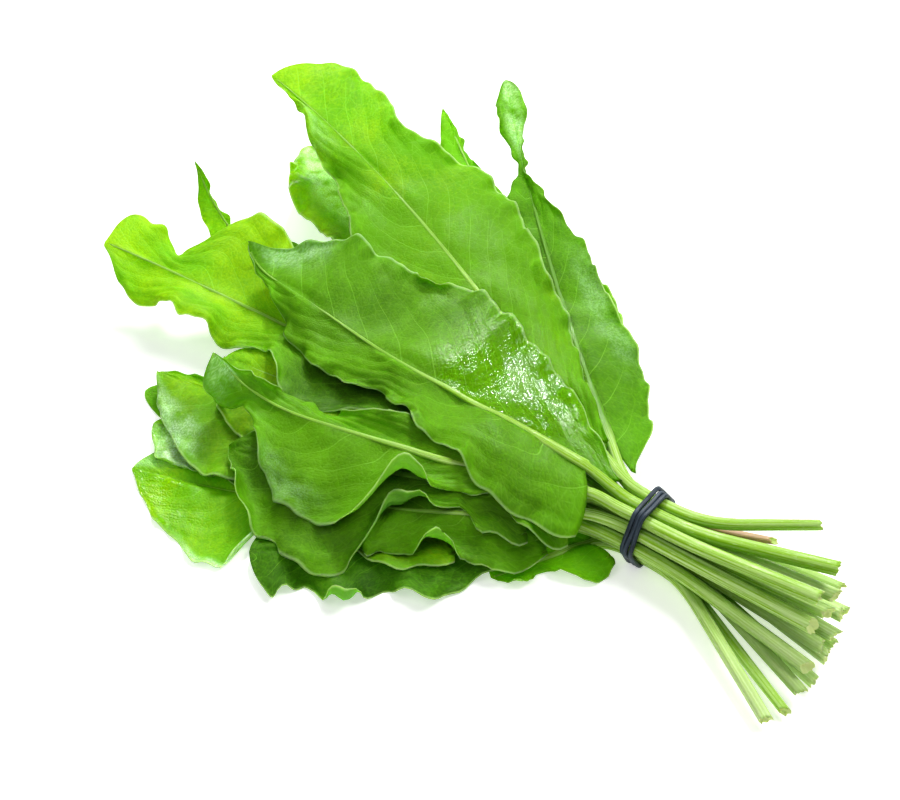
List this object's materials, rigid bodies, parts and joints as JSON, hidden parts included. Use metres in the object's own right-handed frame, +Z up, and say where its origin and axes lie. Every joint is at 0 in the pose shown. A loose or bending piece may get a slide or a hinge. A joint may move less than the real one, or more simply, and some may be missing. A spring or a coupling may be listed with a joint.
{
  "type": "sorrel bunch",
  "caption": "Cut garden sorrel leaves with long stalks and arrow-shaped blades, tied by a wound rubber band and lying flat.",
  "frame": {"origin": "on the surface the bunch lies on, in the middle of the flat spot under the band", "axes": "+X along the bunch towards the cut ends of the stalks, -X towards the leaf tips, +Z up"},
  "size_m": [0.2584, 0.2004, 0.0445],
  "materials": {
    "leaf": "glossy fresh leaf",
    "band": "satin"
  },
  "bodies": {
    "root": {"leaf_01": "leaf", "leaf_02": "leaf", "leaf_03": "leaf", "leaf_04": "leaf", "leaf_05": "leaf", "leaf_06": "leaf", "leaf_07": "leaf", "leaf_08": "leaf", "leaf_09": "leaf", "leaf_10": "leaf", "leaf_11": "leaf", "leaf_12": "leaf", "leaf_13": "leaf", "leaf_14": "leaf", "leaf_15": "leaf", "leaf_16": "leaf", "leaf_17": "leaf", "leaf_18": "leaf", "leaf_19": "leaf", "rubber_band": "band"}
  },
  "joints": []
}
